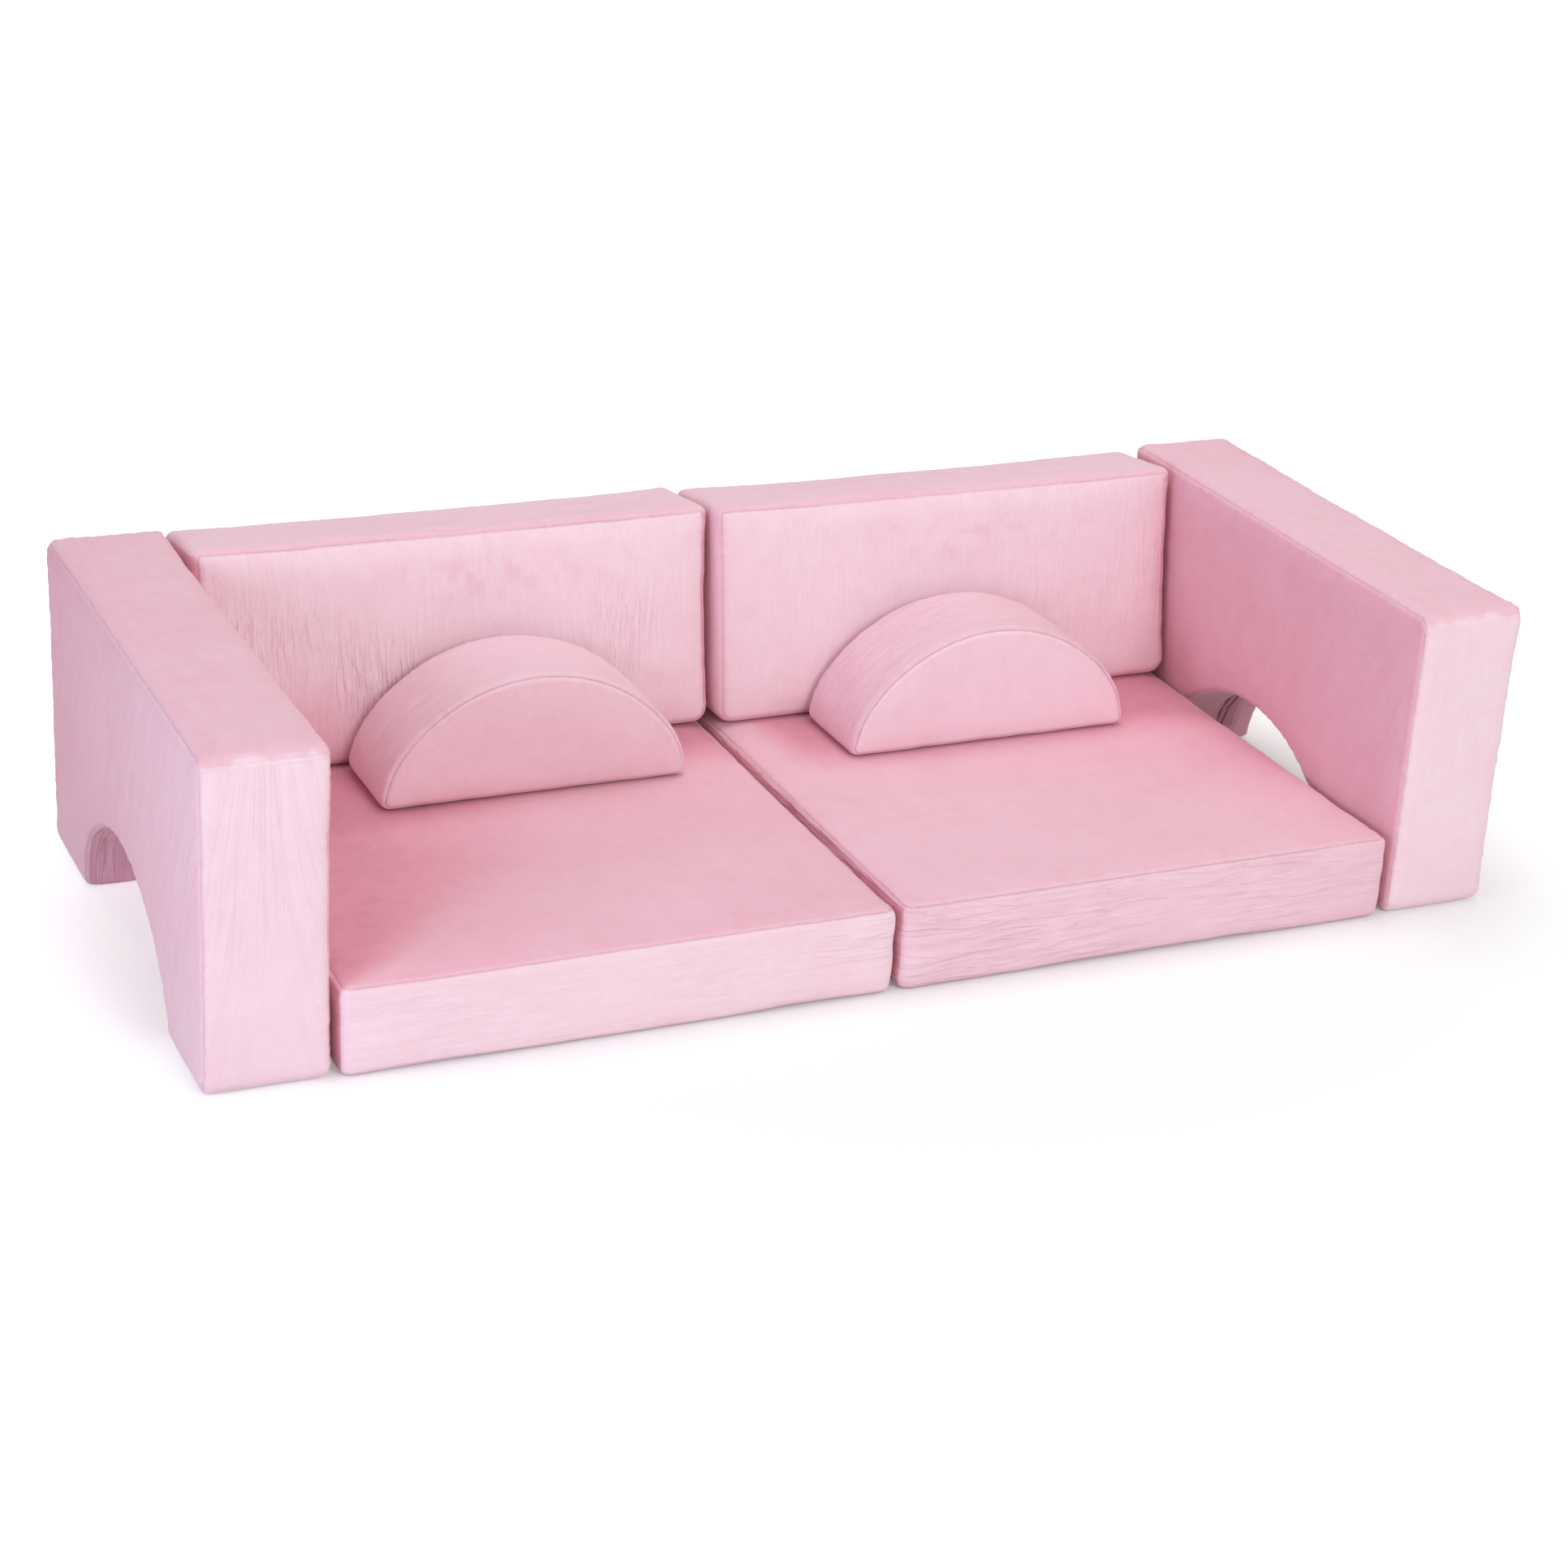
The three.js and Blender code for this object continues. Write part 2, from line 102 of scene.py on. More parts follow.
ZIP_SINK = .0029
ZIP_MARGIN = .001
ZIP_REACH = .006
ZIP_SLOPE = .0022

# The remeshed grid, and a shift that keeps the block's faces off the grid's planes

VOXEL = .006
OFF_LATTICE = .37 * VOXEL


def arch_arcs(width, height, haunch):
    half = width / 2
    crown = (half * half + height * height - 2 * half * haunch) / (2 * (height - haunch))
    return half, crown, math.atan2(half - haunch, crown - height), height - crown


def arc(cu, cv, radius, start, end, steps):
    turns = np.linspace(start, end, steps + 1)
    return np.stack([cu + radius * np.cos(turns), cv + radius * np.sin(turns)], 1)


def arch_line(width, height, haunch, first=0.0):
    """The arch from its right foot over the crown to its left foot."""
    half, crown, angle, centre = arch_arcs(width, height, haunch)
    corner = QUARTER - angle
    right = arc(half - haunch, 0, haunch, first, corner, HAUNCH_STEPS)
    middle = arc(0, centre, crown, corner, math.pi - corner, CROWN_STEPS)
    left = arc(haunch - half, 0, haunch, math.pi - corner, math.pi - first, HAUNCH_STEPS)
    return np.concatenate([right, middle[1:], left[1:]])


def corner_arcs(size):
    """The four round corners, from the lower right one and against the clock."""
    half, height, low = size["width"] / 2, size["height"], size["corner"]
    high = size.get("top_corner", low)
    places = [(half - low, low, low), (half - high, height - high, high),
              (high - half, height - high, high), (low - half, low, low)]
    return [arc(u, v, r, (k - 1) * QUARTER, k * QUARTER, CORNER_STEPS)
            for k, (u, v, r) in enumerate(places)]


def rectangle_line(size):
    """The outline, from the middle of its right side, which another block hides."""
    first, *others = corner_arcs(size)
    return np.concatenate([[(size["width"] / 2, size["height"] / 2)], *others, first])


def half_round_line(size):
    corner = size["corner"]
    lift_off = 2 * math.asin(corner / HALF_ROUND_HAUNCH)
    right = arc(size["width"] / 2 - corner, corner, corner, -QUARTER, 0, CORNER_STEPS)
    over = arch_line(size["width"], size["height"], HALF_ROUND_HAUNCH, lift_off)
    return np.concatenate([right, over, (right * [-1, 1])[::-1]])


def arm_line(size):
    """The arm's outline with its arch, as one closed line."""
    left_foot = arc(-ARCH_WIDTH / 2 - ARM_FOOT, ARM_FOOT, ARM_FOOT, -QUARTER, 0, FOOT_STEPS)
    arch = arch_line(ARCH_WIDTH, ARCH_HEIGHT, ARCH_HAUNCH)
    inner = arch[arch[:, 1] > ARM_FOOT][::-1]
    return np.concatenate([*corner_arcs(size), left_foot, inner, (left_foot * [-1, 1])[::-1]])


# A step of a line shorter than the first is left out, and a point nearer than the second lies on it

NO_LENGTH, ON_LINE = 1e-7, .0004


def inside_line(points, line):
    """Each point's depth inside a closed line, its place along it and the way inwards."""
    step = np.roll(line, -1, 0) - line
    length = np.hypot(*step.T)
    keep = length > NO_LENGTH
    start, step, length = line[keep], step[keep], length[keep]
    run = np.concatenate([[0], np.cumsum(length)[:-1]])
    best = np.full(len(points), 1e9)
    along = np.zeros(len(points))
    nearest = np.zeros((len(points), 2))
    inward = np.zeros((len(points), 2))
    winding = np.zeros(len(points), int)
    for a, d, l, s in zip(start, step, length, run):
        t = np.clip(((points - a) @ d) / (l * l), 0, 1)
        at = a + t[:, None] * d
        gap = ((points - at) ** 2).sum(1)
        nearer = gap < best
        best[nearer] = gap[nearer]
        along[nearer] = s + t[nearer] * l
        nearest[nearer] = at[nearer]
        inward[nearer] = (-d[1] / l, d[0] / l)
        side = d[0] * (points[:, 1] - a[1]) - d[1] * (points[:, 0] - a[0])
        below, above = a[1] <= points[:, 1], a[1] + d[1] <= points[:, 1]
        winding += (below & ~above & (side > 0)).astype(int)
        winding -= (~below & above & (side < 0)).astype(int)
    depth = np.sqrt(best) * np.where(winding != 0, 1, -1)
    away = (points - nearest) * np.sign(depth)[:, None]
    far = np.abs(depth) > ON_LINE
    inward[far] = away[far] / np.abs(depth[far])[:, None]
    return depth, along, inward


def lattice(i, j, seed):
    """A fixed random number from -1 to 1 for each pair of whole numbers."""
    h = (i * 374761393 + j * 668265263 + seed * 974634777) & 0xffffffff
    h = ((h ^ (h >> 13)) * 1274126177) & 0xffffffff
    return ((h ^ (h >> 16)) & 0xffff) / 32767.5 - 1


def noise(x, y, seed):
    """Smooth noise from -1 to 1 over two coordinates."""
    i, j = np.floor(x).astype(np.int64), np.floor(y).astype(np.int64)
    fx, fy = x - i, y - j
    fx, fy = fx * fx * (3 - 2 * fx), fy * fy * (3 - 2 * fy)
    low = lattice(i, j, seed) * (1 - fx) + lattice(i + 1, j, seed) * fx
    high = lattice(i, j + 1, seed) * (1 - fx) + lattice(i + 1, j + 1, seed) * fx
    return low * (1 - fy) + high * fy


def ramp(x, low, high):
    """A smooth step from 0 at low to 1 at high."""
    t = np.clip((x - low) / (high - low), 0, 1)
    return t * t * (3 - 2 * t)


# Meshes

def coordinates(mesh):
    co = np.empty(len(mesh.vertices) * 3)
    mesh.vertices.foreach_get("co", co)
    return co.reshape(-1, 3)


def normals(mesh):
    out = np.empty(len(mesh.vertices) * 3)
    mesh.vertices.foreach_get("normal", out)
    return out.reshape(-1, 3)


def put(mesh, co):
    mesh.vertices.foreach_set("co", co.astype(np.float32).ravel())
    mesh.update()


def applied(obj):
    made = bpy.data.meshes.new_from_object(obj.evaluated_get(bpy.context.evaluated_depsgraph_get()))
    obj.modifiers.clear()
    old, obj.data = obj.data, made
    bpy.data.meshes.remove(old)
    return made


def attribute(mesh, name, values, kind="FLOAT"):
    data = mesh.attributes.get(name) or mesh.attributes.new(name, kind, "POINT")
    key = "vector" if kind == "FLOAT_VECTOR" else "value"
    data.data.foreach_set(key, np.asarray(values, np.float32).ravel())


def read_vector(mesh, name):
    out = np.empty(len(mesh.vertices) * 3, np.float32)
    mesh.attributes[name].data.foreach_get("vector", out)
    return out.reshape(-1, 3).astype(float)


def smoothed(mesh, values, rounds):
    """Values on the vertices, averaged over their edges a number of times."""
    edges = np.empty(len(mesh.edges) * 2, np.int32)
    mesh.edges.foreach_get("vertices", edges)
    a, b = edges.reshape(-1, 2).T
    count = np.bincount(a, minlength=len(values)) + np.bincount(b, minlength=len(values)) + 1
    for _ in range(rounds):
        total = values + np.bincount(a, values[b], len(values)) + np.bincount(b, values[a], len(values))
        values = total / count
    return values


def sharp_block(name, line, thickness):
    """An outline drawn through its thickness and remeshed into even quads, in (u, w, v)."""
    bm = bmesh.new()
    flat = bm.faces.new([bm.verts.new((u, 0, v)) for u, v in line])
    bmesh.ops.translate(bm, verts=bm.verts, vec=[OFF_LATTICE] * 3)
    raised = bmesh.ops.extrude_face_region(bm, geom=[flat])
    moved = [g for g in raised["geom"] if isinstance(g, bmesh.types.BMVert)]
    bmesh.ops.translate(bm, verts=moved, vec=(0, thickness, 0))
    bmesh.ops.recalc_face_normals(bm, faces=bm.faces)
    mesh = bpy.data.meshes.new(name)
    bm.to_mesh(mesh)
    bm.free()
    obj = bpy.data.objects.new(name, mesh)
    scene.collection.objects.link(obj)
    remesh = obj.modifiers.new("remesh", "REMESH")
    remesh.mode = "VOXEL"
    remesh.voxel_size = VOXEL
    mesh = applied(obj)
    put(mesh, coordinates(mesh) - OFF_LATTICE)
    return obj


# How far a band's way inwards points down or to a side, and how near to the arch its band begins

TURNS_OVER, DIAGONAL, SIDEWAYS = .6, .7, .8
ARCH_SLACK = dict(side=.0045, top=.001, floor=.0002, foot=.003)
LINE_END = (.004, .02)


class Place:
    """Where points of a block lie in its outline and its thickness, and on which panel.

    Folds and puckers fade where the line's ends meet, on a hidden side: joined is 0 there.
    """

    def __init__(self, co, line, size):
        self.size = size
        self.u, self.w, self.v = co.T
        self.depth, self.along, self.inward = inside_line(co[:, [0, 2]], line)
        self.near = self.w
        self.far = size["thickness"] - self.w
        self.face = np.minimum(self.near, self.far)
        self.is_near = self.near < self.far
        self.on_face = self.face < self.depth
        self.on_band = ~self.on_face
        self.over = self.on_band & (self.inward[:, 1] < -TURNS_OVER)
        foot = co[:, [0, 2]] - self.inward * self.depth[:, None]
        sideways, up = np.abs(foot[:, 0]) - ARCH_WIDTH / 2, foot[:, 1]
        within = (sideways < ARCH_SLACK["side"]) & (up < ARCH_HEIGHT + ARCH_SLACK["top"])
        flat = (up < ARCH_SLACK["floor"]) & (sideways > ARCH_SLACK["foot"])
        self.arch = within & ~flat & (size is ARM)
        self.end_distance = size["width"] / 2 - np.abs(self.u)
        box_depth = np.minimum(self.end_distance, np.minimum(self.v, size["height"] - self.v))
        self.rim = np.clip(box_depth if size is ARM else self.depth, 0, None)
        self.corner_distance = np.hypot(self.end_distance, np.minimum(self.v, size["height"] - self.v))
        around = np.hypot(*(np.roll(line, -1, 0) - line).T).sum()
        self.joined = ramp(np.minimum(self.along, around - self.along), *LINE_END)


def rounded_block(obj, line, size):
    """The remeshed block with round edges, crowned faces and sides that pull in."""
    co = coordinates(obj.data)
    p = Place(co, line, size)
    radius, half = np.where(p.arch, ARCH_EDGE, size["edge"]), size["thickness"] / 2
    depth, face = np.clip(p.depth, 0, None), np.clip(p.face, 0, None)
    on_edge = (depth < radius) & (face < radius)
    on_face = ~on_edge & (face < depth)
    reach = np.maximum(np.hypot(depth - radius, face - radius), 1e-6)
    flat_depth, flat_face = np.where(on_face, depth, 0), np.where(on_face, 0, face)
    new_depth = np.where(on_edge, radius + (depth - radius) * radius / reach, flat_depth)
    new_face = np.where(on_edge, radius + (face - radius) * radius / reach, flat_face)
    crown = np.where(p.is_near, size["near_crown"], size["far_crown"])
    upright = np.abs(p.inward[:, 0]) > DIAGONAL
    share = np.where(upright, p.v / size["height"], .5 + p.u / size["width"])
    bow = np.clip(1 - (2 * share - 1) ** 2, 0, 1) * (p.inward[:, 1] < DIAGONAL) * ~p.arch
    toward_end = 1 - np.clip(new_face / half, 0, 1)
    new_face += crown * np.exp(-p.rim / CROWN_REACH) * toward_end
    new_depth += size["draw"] * bow * toward_end * np.exp(-p.rim / DRAW_REACH)
    shift = (new_depth - p.depth)[:, None] * p.inward
    co[:, 0] += shift[:, 0]
    co[:, 2] += shift[:, 1]
    co[:, 1] += (new_face - p.face) * np.where(p.is_near, 1, -1)
    put(obj.data, co)
    return co


CLOTH = dict(quality=4, mass=.3, tension_stiffness=20, compression_stiffness=20, shear_stiffness=6,
             bending_stiffness=.2, air_damping=3, use_pressure=True, uniform_pressure_force=1,
             shrink_min=-.012)
CLOTH_FRAMES = 14


def simulate(obj):
    """How far each point of the cover moves along its normal, as cloth cut a little too large."""
    rest, out = coordinates(obj.data), normals(obj.data)
    cloth = obj.modifiers.new("cloth", "CLOTH")
    for name, value in CLOTH.items():
        setattr(cloth.settings, name, value)
    cloth.settings.effector_weights.gravity = 0
    cloth.collision_settings.use_collision = False
    cloth.point_cache.frame_start = 1
    cloth.point_cache.frame_end = CLOTH_FRAMES
    for step in range(1, CLOTH_FRAMES + 1):
        scene.frame_set(step)
    mesh = applied(obj)
    moved = ((coordinates(mesh) - rest) * out).sum(1)
    scene.frame_set(1)
    put(mesh, rest)
    return moved


KINDS = {"seat": (SEAT, rectangle_line), "arm": (ARM, arm_line), "back": (BACK, rectangle_line),
         "half_round": (HALF_ROUND, half_round_line)}
SEAM_MARK = {"seat": .62, "arm": .55, "back": .55, "half_round": 1}
HEM_LIFT = {"seat": .0055, "arm": .0055, "back": .003, "half_round": .0015}


def into_row(kind, co, origin):
    """From the block's own (u, w, v) to the row."""
    u, w, v = co.T
    x, y, z = origin
    if kind == "seat":
        return np.stack([x + u, y + v, z + w], 1)
    if kind == "arm":
        return np.stack([x + w, y + u, z + v], 1)
    if kind == "back":
        return np.stack([x + u, y + w + v * RAKE, z + v - v / BACK["height"] * w * RAKE], 1)
    return np.stack([x + u, y + w, z + v], 1)


def origin_of(kind, side):
    low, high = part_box(f"{side}_{kind}_cover")
    middle = (low + high) / 2
    if kind == "seat":
        return middle.x, low.y, 0
    if kind == "arm":
        return low.x, middle.y, 0
    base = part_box(f"{side}_{kind}_base_panel")[0].z
    return middle.x, BACK_FRONT[side] if kind == "back" else low.y, base


# The folds of each panel: width and length in metres, and height in millimetres

PLAIN_FOLD = (.024, .15, .10)
SEAT_BAND_FOLD = {"left": (.0085, .10, .6), "right": (.0085, .10, 1.15)}
ARM_FACE_FOLD, ARM_INNER_HEIGHT = (.019, .17, .4), .2
ARM_BAND_FOLD = {"left": (.016, .25, .45), "right": (.016, .25, .2)}
FAN = dict(foot=.16, lean=.22, middle=.078, width=.025)
ARM_TOP_FOLD = (.016, .07, .3)
ARCH_FOLD = (.011, .17, .9)
BACK_FACE_FOLD = (.0055, .05, .15)
BACK_BAND_FOLD = (.0065, .09, .45)
HALF_ROUND_FACE_FOLD = (.015, .05, .14)
HALF_ROUND_BAND_FOLD = (.0052, .08, .5)
SEAT_END_FOLD = dict(middle=.65, more=.7, reach=.12)
FACE_SLANT = .4
BACK_FOLD_MORE, BACK_REAR_FOLD = .8, .2
BACK_FRONT_FOLD = {"left": dict(middle=.9, more=4, reach=.14), "right": dict(middle=.55, more=0, reach=.14)}
BACK_PATCH = (.11, .1)
BACK_LOWER = dict(start=.05, calmer=.6, rise=(.16, .25))
FOLD_BEND = dict(size=.4, length=.7, width=4)
UNEVEN = dict(least=.45, more=.75, across=.11, along=.13)
FOLD_CALM, TURNING_CALM = .007, (.04, .6)


def folds_of(kind, side, p, seed):
    """Each point's place across and along the folds of its panel, in folds, and their height."""
    across, run = p.u.copy(), p.v.copy()
    width, length, height = (np.full(len(p.u), x) for x in PLAIN_FOLD)
    from_left = np.clip(p.u + p.size["width"] / 2, 0, None)

    def lay(panel, panel_across, panel_run, fold, tall=1):
        values = (panel_across, panel_run, fold[0], fold[1], fold[2] * tall)
        for target, value in zip((across, run, width, length, height), values):
            target[panel] = value[panel] if isinstance(value, np.ndarray) else value

    if kind == "seat":
        near_end = np.exp(-np.clip(p.end_distance, 0, None) / SEAT_END_FOLD["reach"])
        tall = SEAT_END_FOLD["middle"] + SEAT_END_FOLD["more"] * near_end
        lay(p.on_band, p.w, p.along, SEAT_BAND_FOLD[side], tall)
    elif kind == "arm":
        lean = (p.v - FAN["foot"]) * FAN["lean"] * np.tanh((p.w - FAN["middle"]) / FAN["width"])
        inner = p.is_near ^ (side == "left")
        lay(p.on_face, p.u + FACE_SLANT * p.v, p.v, ARM_FACE_FOLD)
        height[p.on_face & inner] = ARM_INNER_HEIGHT
        lay(p.on_band, p.w + lean, p.v, ARM_BAND_FOLD[side])
        lay(p.over, p.w, p.along, ARM_TOP_FOLD)
        lay(p.arch & p.on_band, p.w, p.along, ARCH_FOLD)
    elif kind == "back":
        patch = .5 + .5 * noise(p.u / BACK_PATCH[0], p.v / BACK_PATCH[1], seed + 5)
        lower = ramp(p.v, 0, BACK_LOWER["start"])
        lower *= 1 - BACK_LOWER["calmer"] * ramp(p.v, *BACK_LOWER["rise"])
        front = BACK_FRONT_FOLD[side]
        strong = front["middle"] + front["more"] * np.exp(-from_left / front["reach"])
        strong = np.where(p.is_near, strong, BACK_REAR_FOLD)
        lay(p.on_face, p.u, p.v, BACK_FACE_FOLD)
        height[p.on_face] += (BACK_FOLD_MORE * strong * patch * lower)[p.on_face]
        lay(p.on_band, p.w, p.along, BACK_BAND_FOLD)
    else:
        lay(p.on_face, p.u, p.v, HALF_ROUND_FACE_FOLD)
        lay(p.on_band, p.w, p.along, HALF_ROUND_BAND_FOLD)
    bend = noise(run / (FOLD_BEND["length"] * length), across / (FOLD_BEND["width"] * width), seed)
    patch = ramp(noise(across / UNEVEN["across"], run / UNEVEN["along"], seed + 2), -.6, .6)
    uneven = UNEVEN["least"] + UNEVEN["more"] * patch
    calm = ramp(np.abs(p.depth - p.face), 0, FOLD_CALM)
    turning = ramp(np.abs(p.inward[:, 1] + TURNS_OVER), *TURNING_CALM) if kind == "arm" else 1
    calm *= np.where(p.on_band, turning * p.joined, 1)
    return across / width + FOLD_BEND["size"] * bend, run / length, height * uneven * calm


# How the pile lies on each panel: 0 shows its depth, and 1 its pale tips. The levels per panel are partly
# painted light: fronts pale as painted sheen, and sides facing a neighbour, the arms' inner faces and
# arches deep as painted shade

PLAIN_NAP, GAP_SHADE_NAP = .5, .15
LOWEST_NAP, HIGHEST_NAP = -.3, 1.05
SEAT_NAP = {"left": dict(face=.40, band=.90), "right": dict(face=.46, band=.66)}
ARM_NAP = {"left": dict(front=.87, top=.42), "right": dict(front=.95, top=.5)}
ARM_FACE_NAP = dict(middle=.40, toward_rear=-.58, at_foot=.24, foot_height=.16)
ARM_INNER_SHADE_NAP, ARCH_SHADE_NAP = .25, .3
SCALLOP = dict(depth=.2, width=.012, length=.3, start=.36, end=.78)
BACK_NAP = dict(face=.97, top=.6)
BACK_LEFT_SIDE_NAP = {"left": .15, "right": .7}
HALF_ROUND_NAP = {"left": dict(face=.72, band=.66), "right": dict(face=.9, band=.61)}

# Where the colour is darkened: on the mats painted shade beside the arms and under the backs, and on the
# backs brush marks and painted shade beside the arms; how much, and the places and reaches in metres

LEFT_SEAT_SIDE = dict(dark=.53, start=.06, first=.03, more=.38, whole_at=.28, even=.25)
LEFT_SEAT_REAR = dict(dark=.8, start=.37, slant=.07, slant_between=(-.1, .2), width=.15)
RIGHT_SEAT_SIDE = dict(dark=.45, reach=.12, rise=(.1, .3))
RIGHT_SEAT_REAR = dict(dark=.72, rise=(.37, .52), beside=(.02, .10))
BRUSH_MARKS = dict(dark=.22, width=.013, height=.015, broad_width=.05, broad_height=.03)
BRUSHED_PATCH = dict(u=.03, v=.235, width=.17, height=.03)
LEFT_BACK_SIDE = dict(dark=1.6, most=.6, reach=.15, height=.16)
RIGHT_BACK_SIDE = dict(dark=.45, reach=.04)


def shade_painted_on_seat(side, p):
    """How much darker a mat's top is painted beside the arm and toward the back: painted shade where the
    arm's shadow falls and under the backs.
    """
    from_left = np.clip(p.u + p.size["width"] / 2, 0, None)
    from_right = np.clip(p.size["width"] / 2 - p.u, 0, None)
    if side == "left":
        at, rear = LEFT_SEAT_SIDE, LEFT_SEAT_REAR
        reach = at["first"] + at["more"] * np.clip(p.v / at["whole_at"], 0, 1)
        beside_arm = at["dark"] * ramp(p.v, 0, at["start"])
        beside_arm *= 1 - ramp(from_left, at["even"] * reach, reach)
        start = rear["start"] + rear["slant"] * ramp(p.u, *rear["slant_between"])
        return beside_arm + rear["dark"] * ramp(p.v, start, start + rear["width"])
    at, rear = RIGHT_SEAT_SIDE, RIGHT_SEAT_REAR
    beside_arm = at["dark"] * np.exp(-from_right / at["reach"]) * ramp(p.v, *at["rise"])
    return beside_arm + rear["dark"] * ramp(p.v, *rear["rise"]) * ramp(from_left, *rear["beside"])


def marks_and_shade_on_back(side, p, seed):
    """How much darker a back's front is at its brush marks, and beside the arms, where painted shade stands
    for their shadow.
    """
    from_left = np.clip(p.u + p.size["width"] / 2, 0, None)
    from_right = np.clip(p.size["width"] / 2 - p.u, 0, None)
    strokes = noise(p.u / BRUSH_MARKS["width"], p.v / BRUSH_MARKS["height"], seed + 7)
    broad = noise(p.u / BRUSH_MARKS["broad_width"], p.v / BRUSH_MARKS["broad_height"], seed + 8)
    marks = BRUSH_MARKS["dark"] * ramp(strokes + .5 * broad, .0, .9)
    marks *= np.exp(-((p.v - BRUSHED_PATCH["v"]) / BRUSHED_PATCH["height"]) ** 2)
    marks *= np.exp(-((p.u - BRUSHED_PATCH["u"]) / BRUSHED_PATCH["width"]) ** 2)
    # Beside the arms the darkening is painted shade; the marks are the pile's own
    if side == "left":
        at = LEFT_BACK_SIDE
        beside_arm = np.minimum(at["dark"] * np.exp(-from_left / at["reach"]), at["most"])
        return marks + beside_arm * (1 - ramp(p.v, 0, at["height"]))
    return marks + RIGHT_BACK_SIDE["dark"] * np.exp(-from_right / RIGHT_BACK_SIDE["reach"]) * p.on_face


def nap_and_shade_of(kind, side, p, seed):
    """How the pile lies at each point, with painted sheen and painted shade laid over it."""
    # Bands that face a neighbour are deep: painted shade in the gap between blocks
    beside_neighbour = p.on_band & (np.abs(p.inward[:, 0]) > SIDEWAYS)
    nap_and_shade = np.full(len(p.u), PLAIN_NAP)
    if kind == "seat":
        nap_and_shade[p.on_face] = (SEAT_NAP[side]["face"] - shade_painted_on_seat(side, p))[p.on_face]
        nap_and_shade[p.on_band] = SEAT_NAP[side]["band"]
        nap_and_shade[beside_neighbour] = GAP_SHADE_NAP
    elif kind == "arm":
        inner = p.on_face & (p.is_near ^ (side == "left"))
        front, top = ARM_NAP[side]["front"], ARM_NAP[side]["top"]
        # The arm's outer face is painted lighter toward the front and at its foot
        at_foot = 1 - ramp(p.v, 0, ARM_FACE_NAP["foot_height"])
        outer = ARM_FACE_NAP["middle"] + ARM_FACE_NAP["toward_rear"] * p.u
        nap_and_shade[p.on_face] = (outer + ARM_FACE_NAP["at_foot"] * at_foot)[p.on_face]
        # The arm's inner face and its arch are deep: painted shade
        nap_and_shade[inner] = ARM_INNER_SHADE_NAP
        scallop = SCALLOP["depth"] * noise(p.w / SCALLOP["width"], p.u / SCALLOP["length"], seed + 4)
        turned = ramp(-p.inward[:, 1] + scallop, SCALLOP["start"], SCALLOP["end"])
        nap_and_shade[p.on_band] = (front + (top - front) * turned)[p.on_band]
        nap_and_shade[p.arch & p.on_band] = ARCH_SHADE_NAP
    elif kind == "back":
        nap_and_shade[p.on_face & p.is_near] = BACK_NAP["face"]
        nap_and_shade[p.over] = BACK_NAP["top"]
        nap_and_shade[beside_neighbour] = GAP_SHADE_NAP
        nap_and_shade[p.on_band & (p.inward[:, 0] > SIDEWAYS)] = BACK_LEFT_SIDE_NAP[side]
        nap_and_shade -= marks_and_shade_on_back(side, p, seed) * p.is_near
    else:
        nap_and_shade[p.on_face & p.is_near] = HALF_ROUND_NAP[side]["face"]
        nap_and_shade[p.on_band] = HALF_ROUND_NAP[side]["band"]
    return np.clip(crushed_at_seam(nap_and_shade, kind, p), LOWEST_NAP, HIGHEST_NAP)


SEAM_CRUSH = {"seat": .05, "arm": .05, "back": .3, "half_round": .05}
CRUSH_REACH = .006
TICK = dict(depth=.16, width=.006, length=.02, seed=5, reach=.008)


def crushed_at_seam(nap_and_shade, kind, p):
    """The pile at a seam is crushed a little, so the change of shade there is soft."""
    beside = np.abs(p.depth - p.face)
    ticks = np.abs(noise(p.along / TICK["width"], beside / TICK["length"], TICK["seed"])) * p.joined
    crushed = SEAM_CRUSH[kind] * np.exp(-beside / CRUSH_REACH)
    return nap_and_shade - crushed - TICK["depth"] * ticks * np.exp(-beside / TICK["reach"])


def zip_dip(kind, name, place):
    """1 where the zip's tape lies in the cover, and 0 away from it."""
    low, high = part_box(f"{name}_zip_tape")
    grow = np.array([ZIP_MARGIN, ZIP_REACH, ZIP_REACH if kind == "arm" else ZIP_MARGIN])
    edge = np.minimum(place - low, np.array(high) - place) + grow
    return np.prod(ramp(edge, 0, ZIP_SLOPE), 1)


HEM_WAVE, HEM_HEIGHT, HEM_DEPTH = .16, .016, .012


def hem_lift(kind, p, seed):
    """How far the hem stands off what it rests on, in metres."""
    low = p.w if kind == "seat" else p.v
    reach = p.depth if kind == "seat" else np.minimum(p.face, p.end_distance)
    wave = ramp(noise(p.along / HEM_WAVE, p.along * 0, seed + 9), -.3, .8)
    near_floor = np.exp(-np.clip(low, 0, None) / HEM_HEIGHT)
    near_edge = np.exp(-np.clip(reach, 0, None) / HEM_DEPTH)
    return HEM_LIFT[kind] * wave * near_floor * near_edge


# What is kept of the simulated cloth, and the heights from which a cover is free of its base

BROAD_ROUNDS = 14
BUCKLE_SHARE, BUCKLE_LOW, BUCKLE_HIGH = .5, -.0009, .0011
STANDS_FREE, SURFACE_FREE = .03, .02


def swollen(obj, standing):
    """The cover after the foam has filled it: what it bulges and buckles, kept to a few millimetres."""
    moved = simulate(obj)
    broad = smoothed(obj.data, moved, BROAD_ROUNDS)
    fine = np.clip(BUCKLE_SHARE * (moved - broad), BUCKLE_LOW, BUCKLE_HIGH)
    free = ramp(standing, 0, STANDS_FREE)
    cap = START_INSET + PROUDEST * free
    return cap * np.tanh(np.clip(broad, 0, None) / cap) + fine * free


# Which of a block's own coordinates points up, and how a mat's top sinks under what stands on it

